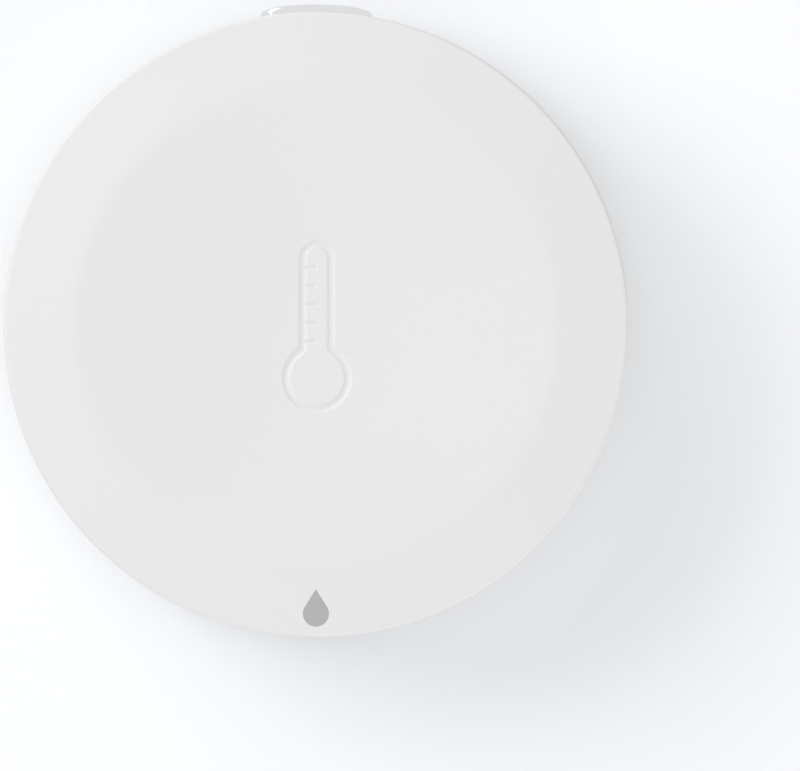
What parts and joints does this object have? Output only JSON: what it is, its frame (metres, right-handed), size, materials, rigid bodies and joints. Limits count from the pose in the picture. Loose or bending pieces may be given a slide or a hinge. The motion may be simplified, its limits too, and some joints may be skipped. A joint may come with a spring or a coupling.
{
  "type": "temperature humidity sensor",
  "caption": "Round puck-shaped temperature and humidity sensor with a dished face, an engraved thermometer, a side button and a twist-off battery door.",
  "frame": {"origin": "centre of the adhesive's outer face, on the wall", "axes": "+Z out of the wall and through the front, +Y towards the thermometer's top and the button"},
  "size_m": [0.06, 0.0608, 0.02],
  "materials": {
    "cover_plastic": "satin moulded, fine spark-eroded grain",
    "housing_plastic": "matt moulded, fine grain",
    "adhesive_foam": "matt foam with a peel-off film",
    "button_chrome": "bright plated",
    "black_plastic": "matt moulded",
    "sheet_steel": "tinned sheet",
    "board_green": "solder mask over glass laminate",
    "contact_nickel": "nickel-plated spring strip",
    "cell_metal": "bright drawn sheet",
    "antenna_copper": "plated copper track",
    "chip_black": "moulded package",
    "crystal_metal": "plated lid",
    "tantalum_case": "moulded package",
    "chip_ceramic": "fired body",
    "sensor_package": "moulded package",
    "gasket_foam": "closed-cell foam",
    "led_resin": "clear resin over phosphor",
    "pipe_clear": "clear moulded"
  },
  "bodies": {
    "case": {"front_cover": "cover_plastic", "rear_housing": "housing_plastic", "adhesive_ring": "adhesive_foam", "switch_body": "black_plastic", "switch_frame": "sheet_steel", "main_board": "board_green", "battery_holder": "black_plastic", "positive_contact": "contact_nickel", "negative_contact": "contact_nickel", "coin_cell_can": "cell_metal", "coin_cell_cap": "cell_metal", "radio_board": "board_green", "radio_shield": "sheet_steel", "radio_antenna": "antenna_copper", "controller_chip": "chip_black", "crystal_can": "crystal_metal", "voltage_regulator": "chip_black", "bulk_capacitor": "tantalum_case", "chip_capacitors": "chip_ceramic", "chip_resistors": "chip_black", "sensor_chip": "sensor_package", "sensor_gasket": "gasket_foam", "status_led": "led_resin", "light_pipe": "pipe_clear"},
    "button": {"pairing_button": "button_chrome"},
    "plunger": {"switch_plunger": "black_plastic"},
    "door": {"battery_door": "housing_plastic"}
  },
  "joints": [
    {"name": "button_press", "type": "slide", "parent": "case", "child": "button", "axis": [0, -1, 0], "range_m": [0, 0.0003], "stiffness_N_per_m": 5000},
    {"name": "plunger_press", "type": "slide", "parent": "case", "child": "plunger", "axis": [0, -1, 0], "range_m": [0, 0.0003]},
    {"name": "door_twist", "type": "hinge", "parent": "case", "child": "door", "pos_m": [0, 0, 0.0015], "axis": [0, 0, -1], "range_deg": [0, 35]}
  ],
  "couplings": [
    {"joint": "plunger_press", "follows": "button_press", "ratio": 1}
  ]
}
